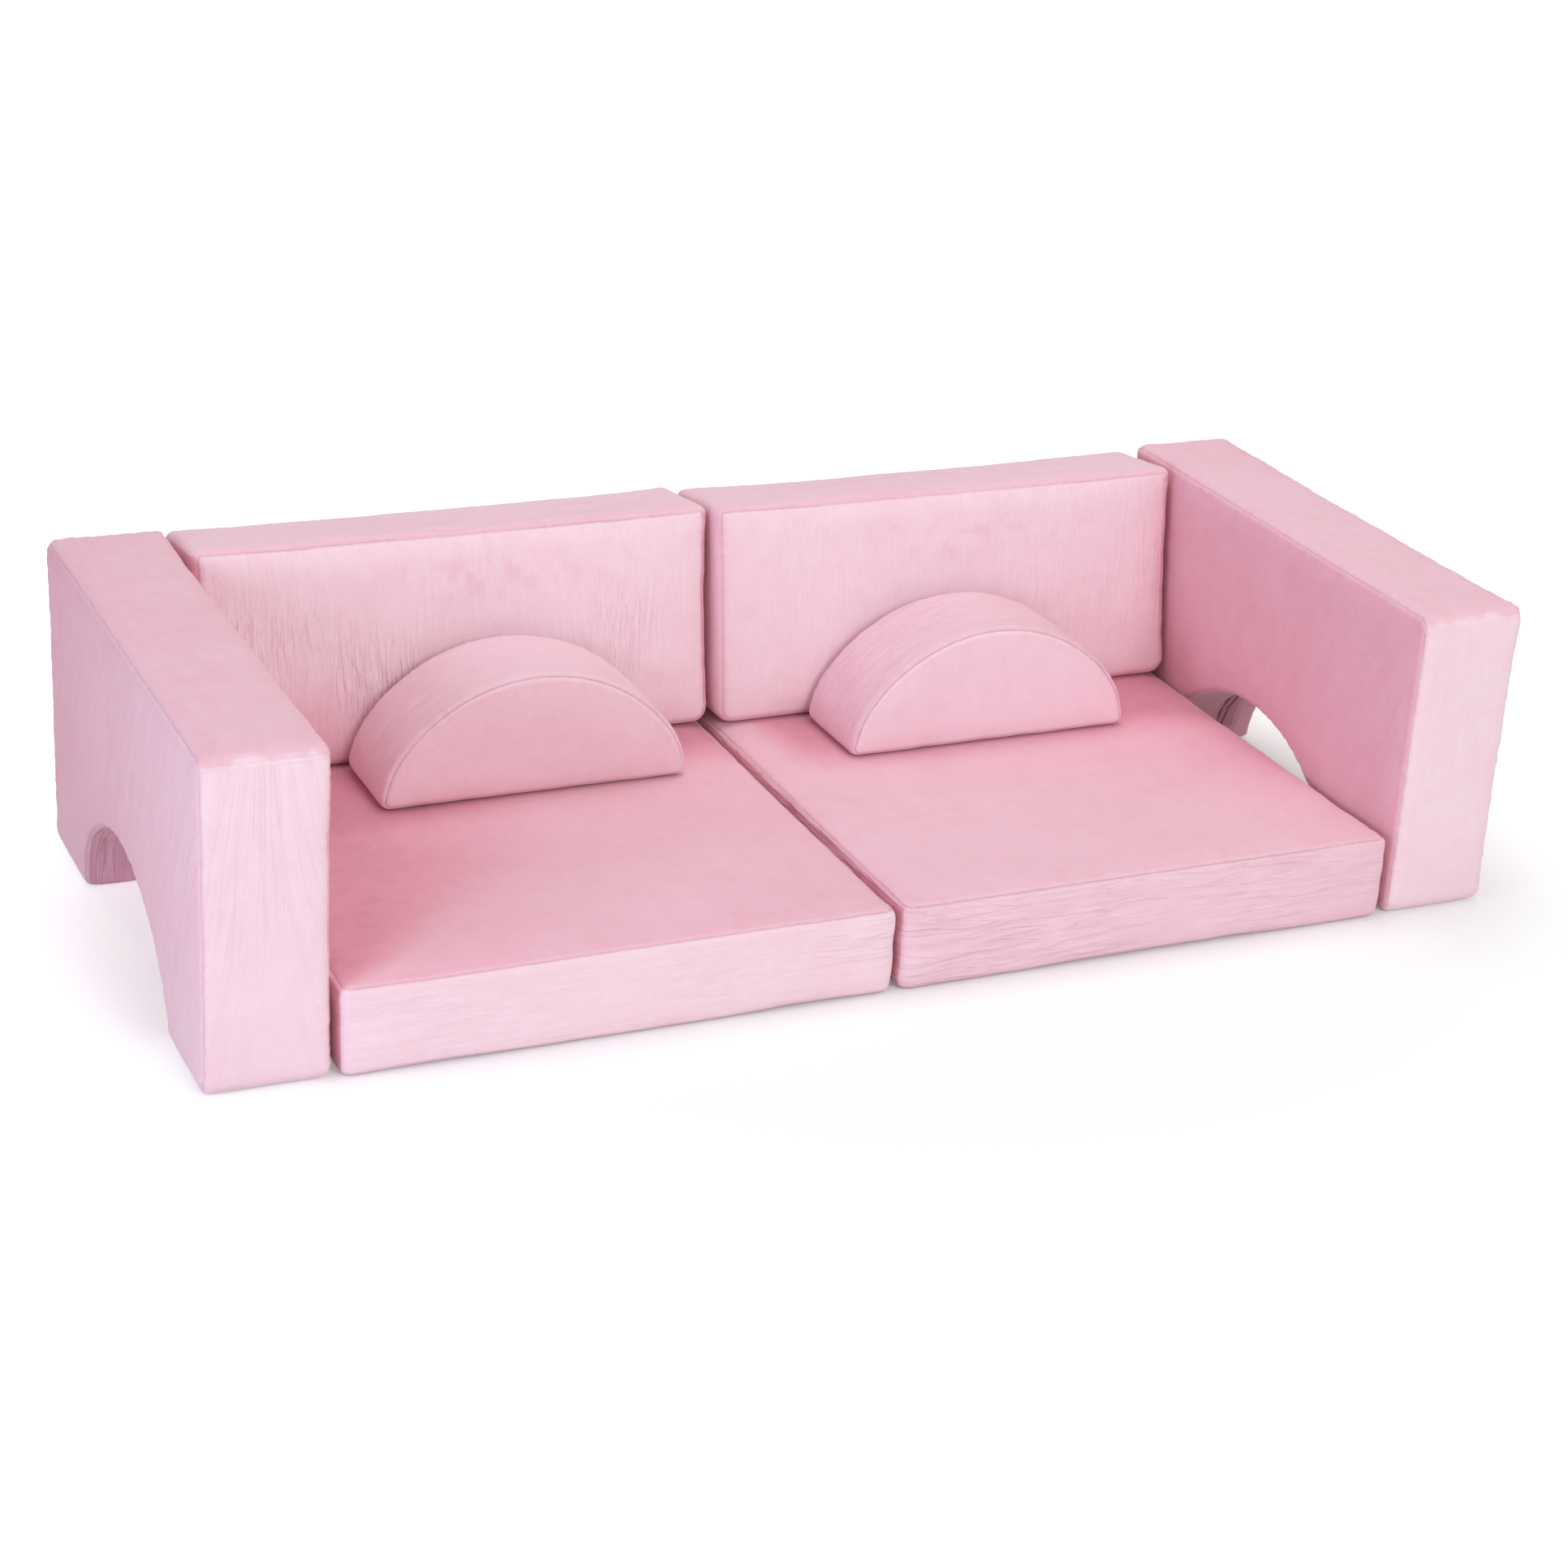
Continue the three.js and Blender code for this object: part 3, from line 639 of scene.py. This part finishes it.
UPRIGHT = {"seat": 1, "arm": 2, "back": 2, "half_round": 2}
SEAT_TOP = dict(sink=.0016, start=.08, end=.12)
SEED_STEP = 10

# What is set on a cover's surface: sizes across and along in metres, and heights in millimetres

GATHER = {"seat": .4, "arm": .85, "back": .4, "half_round": .4}
CORNER_GATHER, CORNER_REACH = .75, .05
PUCKER = dict(width=.0075, length=.03, reach=.012)
RIDGE = dict(height=.45, place=.0052, width=.003)
GROOVE = dict(depth=.9, width=.002)
BEND = dict(height=1.4, width=.0068, length=.02)
WOBBLE = dict(height=.8, width=.10, length=.085)
TALLEST_FOLD = 1.2
FOLDS_A_WAVE = (2.2, 1.5)
FOLD_FADE = (.002, .012)


def surface_height(kind, p, fold_x, fold_y, fold_height, seed):
    """Folds, puckers at the seams, the seams' ridges and a slow wobble, in millimetres."""
    beside = np.abs(p.depth - p.face) / math.sqrt(2)
    gathers = GATHER[kind] + CORNER_GATHER * np.exp(-p.corner_distance / CORNER_REACH)
    pucker = gathers * noise(p.along / PUCKER["width"], beside / PUCKER["length"], seed + 3)
    pucker *= np.exp(-beside / PUCKER["reach"]) * p.joined
    bent = 4 * (p.inward[:, 0] * p.inward[:, 1]) ** 2 * (p.on_band & (kind == "arm") & ~p.arch)
    pucker += BEND["height"] * bent * noise(p.w / BEND["width"], p.along / BEND["length"], seed + 6)
    ridge = RIDGE["height"] * np.exp(-((beside - RIDGE["place"]) / RIDGE["width"]) ** 2)
    ridge -= GROOVE["depth"] * np.exp(-(beside / GROOVE["width"]) ** 2)
    ridge *= .2 + .8 * SEAM_MARK[kind]
    wobble = noise((p.u + p.w) / WOBBLE["width"], (p.v - p.w) / WOBBLE["length"], seed + 4)
    wobble *= WOBBLE["height"]
    waves = noise(fold_x / FOLDS_A_WAVE[0], fold_y / FOLDS_A_WAVE[1], seed + 1)
    folds = np.minimum(fold_height, TALLEST_FOLD) * waves * ramp(beside, *FOLD_FADE)
    return folds + pucker + ridge + wobble


def filled_cover(name, kind, line, seed):
    """The block as cloth that the foam has filled, subdivided, and each point's rest place."""
    size = KINDS[kind][0]
    upright = UPRIGHT[kind]
    obj = sharp_block(f"{name}_padded_cover", line, size["thickness"])
    rest = rounded_block(obj, line, size)
    slack = noise(rest[:, 0] / .03 + rest[:, 1] / .04, rest[:, 2] / .03, seed)
    slack = START_INSET + INSET_NOISE * slack
    start = rest - normals(obj.data) * slack[:, None]
    attribute(obj.data, "rest_place", rest, "FLOAT_VECTOR")
    put(obj.data, start)
    swell = swollen(obj, rest[:, upright])
    put(obj.data, start + normals(obj.data) * swell[:, None])
    subdivide = obj.modifiers.new("subdivide", "SUBSURF")
    subdivide.levels = subdivide.render_levels = 1
    mesh = applied(obj)
    rest = read_vector(mesh, "rest_place")
    mesh.attributes.remove(mesh.attributes["rest_place"])
    return obj, rest


def cover(kind, side, seed):
    """One padded cover, in place in the row."""
    name = f"{side}_{kind}"
    size, outline = KINDS[kind]
    line = outline(size)
    upright = UPRIGHT[kind]
    obj, rest = filled_cover(name, kind, line, seed)
    mesh = obj.data
    seed *= SEED_STEP
    origin = origin_of(kind, side)
    p = Place(rest, line, size)
    fold_x, fold_y, fold_height = folds_of(kind, side, p, seed)
    dip = zip_dip(kind, name, into_row(kind, rest, origin))
    height = surface_height(kind, p, fold_x, fold_y, fold_height, seed)
    height *= ramp(rest[:, upright], 0, SURFACE_FREE) * MM
    out = normals(mesh)
    co = coordinates(mesh)
    offset = ((co - rest) * out).sum(1)
    wanted = np.clip(offset + height, DEEPEST, PROUDEST) * (1 - dip) - dip * ZIP_SINK
    co += out * (wanted - offset)[:, None]
    co[:, upright] += hem_lift(kind, p, seed)
    co[:, upright] = np.maximum(co[:, upright], OFF_FLOOR)
    if kind == "seat":
        co[:, 1] -= SEAT_TOP["sink"] * ramp(p.near, SEAT_TOP["start"], SEAT_TOP["end"])
        co[:, 1] = np.minimum(co[:, 1], size["thickness"] - OFF_FLOOR)
    put(mesh, into_row(kind, co, origin))
    if kind in ("seat", "arm"):
        mesh.flip_normals()
    seam = (p.depth - p.face) / math.sqrt(2)
    attribute(mesh, "nap_and_shade", nap_and_shade_of(kind, side, p, seed))
    attribute(mesh, "seam", seam)
    attribute(mesh, "seam_mark", np.full(len(seam), SEAM_MARK[kind]))
    attribute(mesh, "fold", np.stack([fold_x, fold_y, 0 * fold_x], 1), "FLOAT_VECTOR")
    attribute(mesh, "fold_height", fold_height * (1 - dip))
    mesh.shade_smooth()
    assign_base(mesh, kind, rest)
    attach(obj, name)
    panels = ["front_foot_panel", "rear_foot_panel"] if kind == "arm" else ["base_panel"]
    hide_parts(f"{name}_cover", *[f"{name}_{x}" for x in panels])


BASE_HEIGHT = .0012


def assign_base(mesh, kind, rest):
    """The faces that lie on the floor or on a seat are of base fabric."""
    mesh.materials.clear()
    mesh.materials.append(velvet)
    mesh.materials.append(base_fabric)
    corner = np.empty(len(mesh.loops), np.int32)
    mesh.loops.foreach_get("vertex_index", corner)
    first = np.empty(len(mesh.polygons), np.int32)
    mesh.polygons.foreach_get("loop_start", first)
    low = rest[:, UPRIGHT[kind]]
    mesh.polygons.foreach_set("material_index", (low[corner[first]] < BASE_HEIGHT).astype(np.int32))


# Materials

def nodes_of(name):
    material = bpy.data.materials.new(name)
    material.use_nodes = True
    tree = material.node_tree
    return material, tree, tree.nodes["Principled BSDF"]


def add(tree, kind, links=(), **settings):
    """A node with its settings, and its inputs linked from (input, output socket) pairs."""
    node = tree.nodes.new(kind)
    for key, value in settings.items():
        if key.startswith("in_"):
            node.inputs[key[3:]].default_value = value
        else:
            setattr(node, key, value)
    for slot, source in links:
        tree.links.new(source, node.inputs[slot])
    return node


def is_socket(value):
    return isinstance(value, bpy.types.NodeSocket)


def calculate(tree, operation, *values):
    """What a Math node makes of one or two values, each a socket or a number."""
    node = add(tree, "ShaderNodeMath", operation=operation)
    for slot, value in enumerate(values):
        if is_socket(value):
            tree.links.new(value, node.inputs[slot])
        else:
            node.inputs[slot].default_value = value
    return node.outputs[0]


def remap(tree, value, old, new, curve="LINEAR"):
    """A value taken from one range to another and held inside it."""
    node = add(tree, "ShaderNodeMapRange", [("Value", value)], interpolation_type=curve)
    for slot, level in enumerate((*old, *new), 1):
        node.inputs[slot].default_value = level
    return node.outputs[0]


def fading(tree, value, start, end, strength=1.0):
    """A strength that falls smoothly to nothing as the value grows from start to end."""
    return remap(tree, value, (start, end), (strength, 0.0), "SMOOTHSTEP")


def mixed(tree, share, first, second):
    """Two colours mixed, each a socket or three numbers."""
    node = add(tree, "ShaderNodeMix", [(0, share)], data_type="RGBA")
    for slot, colour in ((6, first), (7, second)):
        if is_socket(colour):
            tree.links.new(colour, node.inputs[slot])
        else:
            node.inputs[slot].default_value = (*colour, 1)
    return node.outputs[2]


def noise_in(tree, place, scale, detail, roughness=.5):
    node = add(tree, "ShaderNodeTexNoise", [("Vector", place)],
               in_Scale=scale, in_Detail=detail, in_Roughness=roughness)
    return node.outputs["Fac"]


def object_place(tree):
    return add(tree, "ShaderNodeTexCoord").outputs["Object"]


def point_value(tree, name, output="Fac"):
    """An attribute of the mesh's points."""
    return add(tree, "ShaderNodeAttribute", attribute_name=name).outputs[output]


def bumped(tree, shader, height, strength=1.0, distance=1.0):
    bump = add(tree, "ShaderNodeBump", [("Height", height)], in_Strength=strength, in_Distance=distance)
    tree.links.new(bump.outputs[0], shader.inputs["Normal"])


def pile_and_shade_colour(tree, nap_and_shade, place):
    """Velvet's colour, from how its pile lies and the shade painted into it: below 0 a painted shadow
    colour, above 1 a painted sheen.
    """
    mottle = remap(tree, noise_in(tree, place, 5.5, 3.0, .55), (.3, .7), (-.06, .06))
    marks = remap(tree, noise_in(tree, place, 38.0, 4.0, .6), (.42, .72), (.02, -.07))
    grain = remap(tree, noise_in(tree, place, 420.0, 2.0), (.3, .7), (-.05, .05))
    for extra in (mottle, marks, grain):
        nap_and_shade = calculate(tree, "ADD", nap_and_shade, extra)
    first, span = PILE_AND_PAINTED_SHADE[0][0], PILE_AND_PAINTED_SHADE[-1][0] - PILE_AND_PAINTED_SHADE[0][0]
    share = remap(tree, nap_and_shade, (first, first + span), (0.0, 1.0))
    shades = add(tree, "ShaderNodeValToRGB", [(0, share)])
    stops = shades.color_ramp.elements
    stops[0].color = (*PILE_AND_PAINTED_SHADE[0][1], 1)
    stops[1].color = (*PILE_AND_PAINTED_SHADE[-1][1], 1)
    for level, colour in PILE_AND_PAINTED_SHADE[1:-1]:
        stop = stops.new((level - first) / span)
        stop.color = (*colour, 1)
    return shades.outputs["Color"]


def seam_colour(tree, colour, beside, mark, place):
    """The pile is paler beside a seam and dark in it, more in some places than in others."""
    uneven = noise_in(tree, place, 30.0, 3.0)
    depth = calculate(tree, "MULTIPLY", remap(tree, uneven, (.35, .65), (.15, .5)), mark)
    dark = calculate(tree, "MULTIPLY", fading(tree, beside, .0003, .0014), depth)
    pale_beside = calculate(tree, "MULTIPLY", fading(tree, beside, .0014, .0070, .32), mark)
    return mixed(tree, dark, mixed(tree, pale_beside, colour, PALE), SEAM_SHADE)


def make_velvet():
    material, tree, shader = nodes_of("velvet")
    place = object_place(tree)
    fold = point_value(tree, "fold", "Vector")
    height = point_value(tree, "fold_height")
    mark = point_value(tree, "seam_mark")
    beside = calculate(tree, "ABSOLUTE", point_value(tree, "seam"))
    folds = noise_in(tree, fold, 1.0, 2.0, .55)
    from_line = calculate(tree, "SUBTRACT", noise_in(tree, fold, .62, 1.5), .5)
    crease = fading(tree, calculate(tree, "ABSOLUTE", from_line), .0, .035)

    # The folds' sides are painted lighter and darker and the creases darker: painted shade and painted
    # highlight in the colour
    turned = remap(tree, folds, (.3, .7), (-PAINTED_FOLD_SHADE, PAINTED_FOLD_SHADE))
    painted_fold_shade = calculate(tree, "ADD", turned, calculate(tree, "MULTIPLY", crease, -PAINTED_CREASE_SHADE))
    painted_fold_shade = calculate(tree, "MULTIPLY", painted_fold_shade, height)
    nap_and_shade = calculate(tree, "ADD", point_value(tree, "nap_and_shade"), painted_fold_shade)
    colour = seam_colour(tree, pile_and_shade_colour(tree, nap_and_shade, place), beside, mark, place)
    tree.links.new(colour, shader.inputs["Base Color"])

    swell = calculate(tree, "MULTIPLY", folds, FOLD_BUMP)
    dent = calculate(tree, "MULTIPLY", crease, -CREASE_BUMP)
    scaled = calculate(tree, "MULTIPLY", calculate(tree, "ADD", swell, dent), height)
    streak_map = add(tree, "ShaderNodeMapping", [("Vector", place)], in_Scale=PILE_DENSITY)
    pile = calculate(tree, "MULTIPLY", noise_in(tree, streak_map.outputs[0], 1.0, 2.0), PILE_BUMP)
    groove = calculate(tree, "MULTIPLY", fading(tree, beside, .0002, .0013, -SEAM_BUMP), mark)
    total = calculate(tree, "ADD", calculate(tree, "ADD", scaled, pile), groove)
    bumped(tree, shader, total)
    shader.inputs["Roughness"].default_value = .88
    shader.inputs["Specular IOR Level"].default_value = .18
    shader.inputs["Sheen Weight"].default_value = .42
    shader.inputs["Sheen Roughness"].default_value = .38
    shader.inputs["Sheen Tint"].default_value = (1, .86, .91, 1)
    return material


def make_base_fabric():
    material, tree, shader = nodes_of("base_fabric")
    place = object_place(tree)
    threads = [add(tree, "ShaderNodeTexWave", [("Vector", place)], bands_direction=way,
                   in_Scale=260.0, in_Distortion=.6).outputs["Fac"] for way in "XY"]
    weave = calculate(tree, "MULTIPLY", *threads)
    tree.links.new(mixed(tree, weave, (.50, .24, .31), (.68, .36, .44)), shader.inputs["Base Color"])
    bumped(tree, shader, weave, .5, .0004)
    shader.inputs["Roughness"].default_value = .9
    return material


def make_foam():
    material, tree, shader = nodes_of("foam")
    voronoi = add(tree, "ShaderNodeTexVoronoi", [("Vector", object_place(tree))], in_Scale=900.0)
    cells = voronoi.outputs["Distance"]
    tree.links.new(mixed(tree, cells, (.72, .64, .50), (.90, .85, .74)), shader.inputs["Base Color"])
    bumped(tree, shader, cells, .6, .0006)
    shader.inputs["Roughness"].default_value = .95
    return material


def make_tape():
    material, tree, shader = nodes_of("zip_tape")
    place = object_place(tree)
    wave = add(tree, "ShaderNodeTexWave", [("Vector", place)], bands_direction="DIAGONAL",
               in_Scale=190.0, in_Distortion=0)
    teeth = wave.outputs["Fac"]
    woven = calculate(tree, "MULTIPLY", noise_in(tree, place, 1100.0, 2.0), teeth)
    tree.links.new(mixed(tree, woven, (.52, .22, .30), (.82, .46, .55)), shader.inputs["Base Color"])
    bumped(tree, shader, teeth, .6, .0006)
    shader.inputs["Roughness"].default_value = .62
    return material


def make_slider():
    material, tree, shader = nodes_of("zip_slider")
    brushed = noise_in(tree, object_place(tree), 1500.0, 3.0)
    tree.links.new(remap(tree, brushed, (.3, .7), (.28, .46)), shader.inputs["Roughness"])
    tree.links.new(mixed(tree, brushed, (.66, .52, .55), (.80, .70, .72)), shader.inputs["Base Color"])
    shader.inputs["Metallic"].default_value = .85
    return material


# The pile's colours by how it lies, below 0 a painted shadow colour and above 1 a painted sheen, and the
# strength of folds and creases in painted shade and in metres

PALE = (.94, .72, .785)
PILE_AND_PAINTED_SHADE = ((-.4, (.60, .23, .30)), (0, (.78, .36, .445)), (1, PALE), (1.15, (.964, .774, .836)))
SEAM_SHADE = (.60, .27, .35)
PAINTED_FOLD_SHADE, PAINTED_CREASE_SHADE = .14, .14
FOLD_BUMP, CREASE_BUMP, PILE_BUMP, SEAM_BUMP = .0032, .0004, .0002, .0006
PILE_DENSITY = (700, 700, 160)

velvet = make_velvet()
base_fabric = make_base_fabric()
MADE_OF = {"foam_core": make_foam(), "zip_tape": make_tape(), "zip_slider": make_slider()}

for node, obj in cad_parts.items():
    for ending, material in MADE_OF.items():
        if node.endswith(ending):
            obj.data.materials.clear()
            obj.data.materials.append(material)

# The covers

SEEDS = {"left_seat": 3, "right_seat": 11, "left_arm": 23, "right_arm": 37,
         "left_back": 41, "right_back": 57, "left_half_round": 63, "right_half_round": 79}
for name, seed in SEEDS.items():
    side, kind = name.split("_", 1)
    cover(kind, side, seed)
    print(name, "made at", round(time.time() - started, 1), "s")

# Floor and light

def seen_directly(tree):
    """1 for what the camera, a mirror or a glass shows of the background, and 0 for its light."""
    path = add(tree, "ShaderNodeLightPath")
    total = path.outputs["Is Camera Ray"]
    for name in ("Is Glossy Ray", "Is Transmission Ray"):
        total = calculate(tree, "MAXIMUM", total, path.outputs[name])
    return total


FLOOR_SIZE = 40
FLOOR_COLOUR = (.885, .9, .89)
# The floor glows for the camera, least just in front of the sofa and most behind it and on its left:
# painted light that washes out the sofa's shadow there and keeps its contact shadow
GLOW = dict(shift=(-.12, .25, 0), scale=(.8, 1, 1), reach=(.5, 1.15), strength=(.14, .62))
SKY_COLOUR = (1, .985, .99)
SKY_LIGHT, SKY_SEEN = .50, 1.0

bpy.ops.mesh.primitive_plane_add(size=FLOOR_SIZE, location=(0, 0, 0))
floor = bpy.context.object
floor.name = "floor"
material, tree, shader = nodes_of("floor")
shader.inputs["Base Color"].default_value = (*FLOOR_COLOUR, 1)
shader.inputs["Roughness"].default_value = .9
shader.inputs["Specular IOR Level"].default_value = .1
around = add(tree, "ShaderNodeMapping", [("Vector", object_place(tree))],
             in_Location=GLOW["shift"], in_Scale=GLOW["scale"])
away = add(tree, "ShaderNodeVectorMath", [(0, around.outputs[0])], operation="LENGTH")
level = remap(tree, away.outputs["Value"], GLOW["reach"], GLOW["strength"], "SMOOTHSTEP")
seen = calculate(tree, "MULTIPLY", level, seen_directly(tree))
glow = add(tree, "ShaderNodeEmission", [("Strength", seen)])
both = add(tree, "ShaderNodeAddShader", [(0, shader.outputs[0]), (1, glow.outputs[0])])
tree.links.new(both.outputs[0], tree.nodes["Material Output"].inputs["Surface"])
floor.data.materials.append(material)

world = bpy.data.worlds.new("world")
scene.world = world
world.use_nodes = True
tree = world.node_tree
sky = tree.nodes["Background"]
sky.inputs["Color"].default_value = (*SKY_COLOUR, 1)
level = remap(tree, seen_directly(tree), (0.0, 1.0), (SKY_LIGHT, SKY_SEEN))
tree.links.new(level, sky.inputs["Strength"])


def lamp(name, place, target, size, power, colour):
    """A square lamp that points at its target."""
    data = bpy.data.lights.new(name, "AREA")
    data.size = size
    data.energy = power
    data.color = colour
    obj = bpy.data.objects.new(name, data)
    scene.collection.objects.link(obj)
    obj.location = place
    obj.rotation_mode = "QUATERNION"
    obj.rotation_quaternion = (Vector(target) - Vector(place)).to_track_quat("-Z", "Y")


SOFA_MIDDLE = (0, 0, .2)
LEFT_ARM_OUTSIDE = (-.87, -.3, .2)
lamp("key", (.6, -4.6, 2.7), SOFA_MIDDLE, size=2.0, power=77, colour=(1, .985, .975))
lamp("side", (-3.3, -1.5, 1.1), LEFT_ARM_OUTSIDE, size=1.2, power=33, colour=(.70, .75, 1))
lamp("top", (.4, .4, 3.2), SOFA_MIDDLE, size=2.0, power=30, colour=(1, 1, 1))

scene.view_settings.view_transform = "Standard"

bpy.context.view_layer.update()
print("scene made in", round(time.time() - started, 1), "s")
